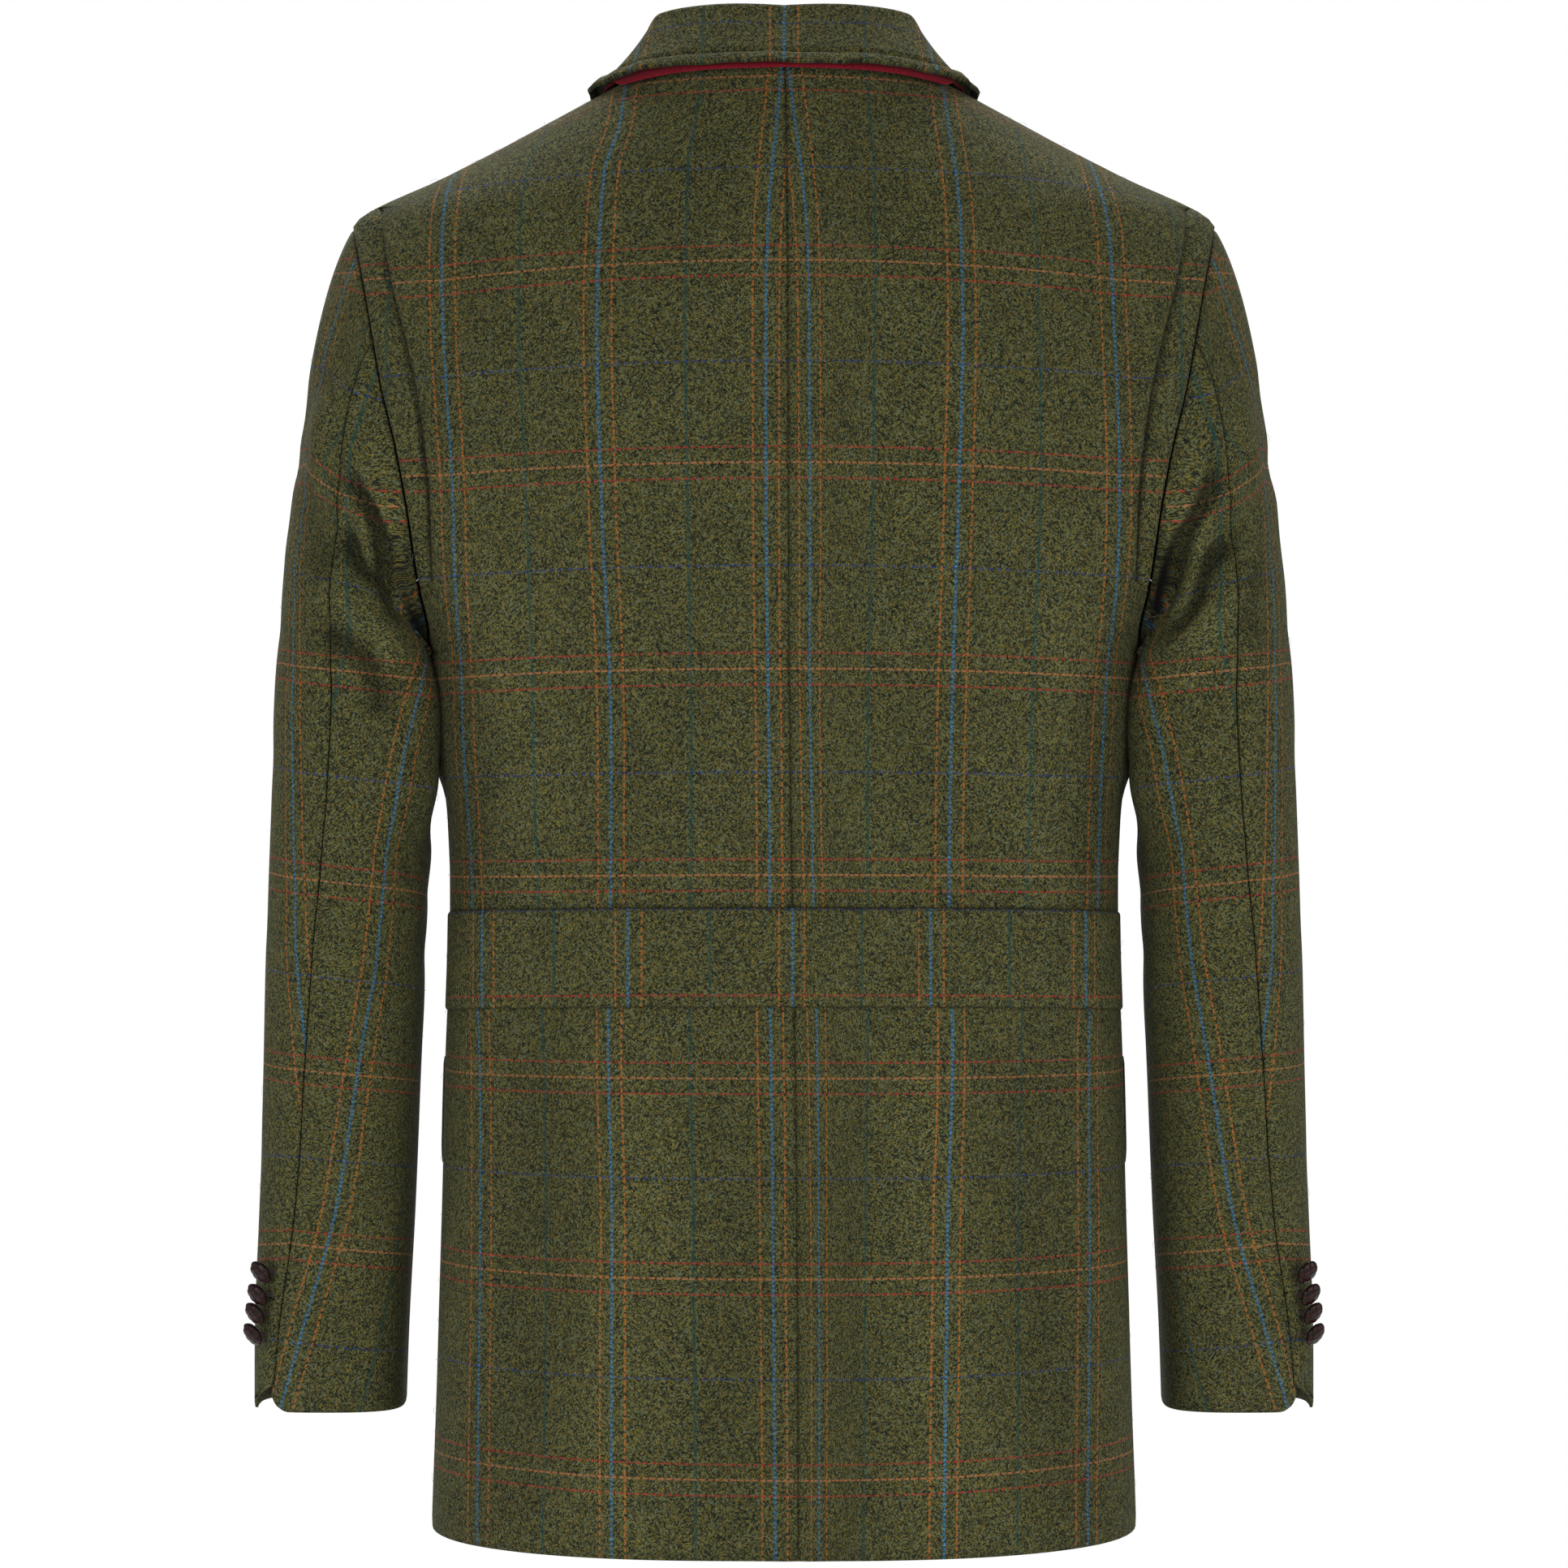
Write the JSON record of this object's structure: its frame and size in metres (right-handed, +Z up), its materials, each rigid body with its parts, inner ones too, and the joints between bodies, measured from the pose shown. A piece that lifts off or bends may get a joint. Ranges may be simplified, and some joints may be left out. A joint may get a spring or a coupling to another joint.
{
  "type": "hunting jacket",
  "caption": "Checked tweed hunting jacket, filled out and hollow, with action pleats and a half belt at the back, notch lapels, hip flaps and leather buttons.",
  "frame": {"origin": "between the shoulders at the height of the neck points, where the wearer's shoulders hold the jacket up", "axes": "+Z up the body, +X to the wearer's left, -Y out of the jacket's front and +Y out of its back"},
  "size_m": [0.5834, 0.2731, 0.8173],
  "materials": {
    "tweed": "matt wool tweed",
    "felt": "matt wool felt",
    "leather_button": "satin woven leather"
  },
  "bodies": {
    "root": {"back_left": "tweed", "back_right": "tweed", "pleat_underlay_left": "tweed", "pleat_underlay_right": "tweed", "front_left": "tweed", "front_right": "tweed", "lapel_left": "tweed", "lapel_right": "tweed", "upper_sleeve_left": "tweed", "upper_sleeve_right": "tweed", "under_sleeve_left": "tweed", "under_sleeve_right": "tweed", "hip_flap_left": "tweed", "hip_flap_right": "tweed", "half_belt": "tweed", "collar": "tweed", "undercollar": "felt", "cuff_button_left_1": "leather_button", "cuff_button_left_2": "leather_button", "cuff_button_left_3": "leather_button", "cuff_button_left_4": "leather_button", "cuff_button_right_1": "leather_button", "cuff_button_right_2": "leather_button", "cuff_button_right_3": "leather_button", "cuff_button_right_4": "leather_button", "front_button_1": "leather_button", "front_button_2": "leather_button", "front_button_3": "leather_button"}
  },
  "joints": []
}
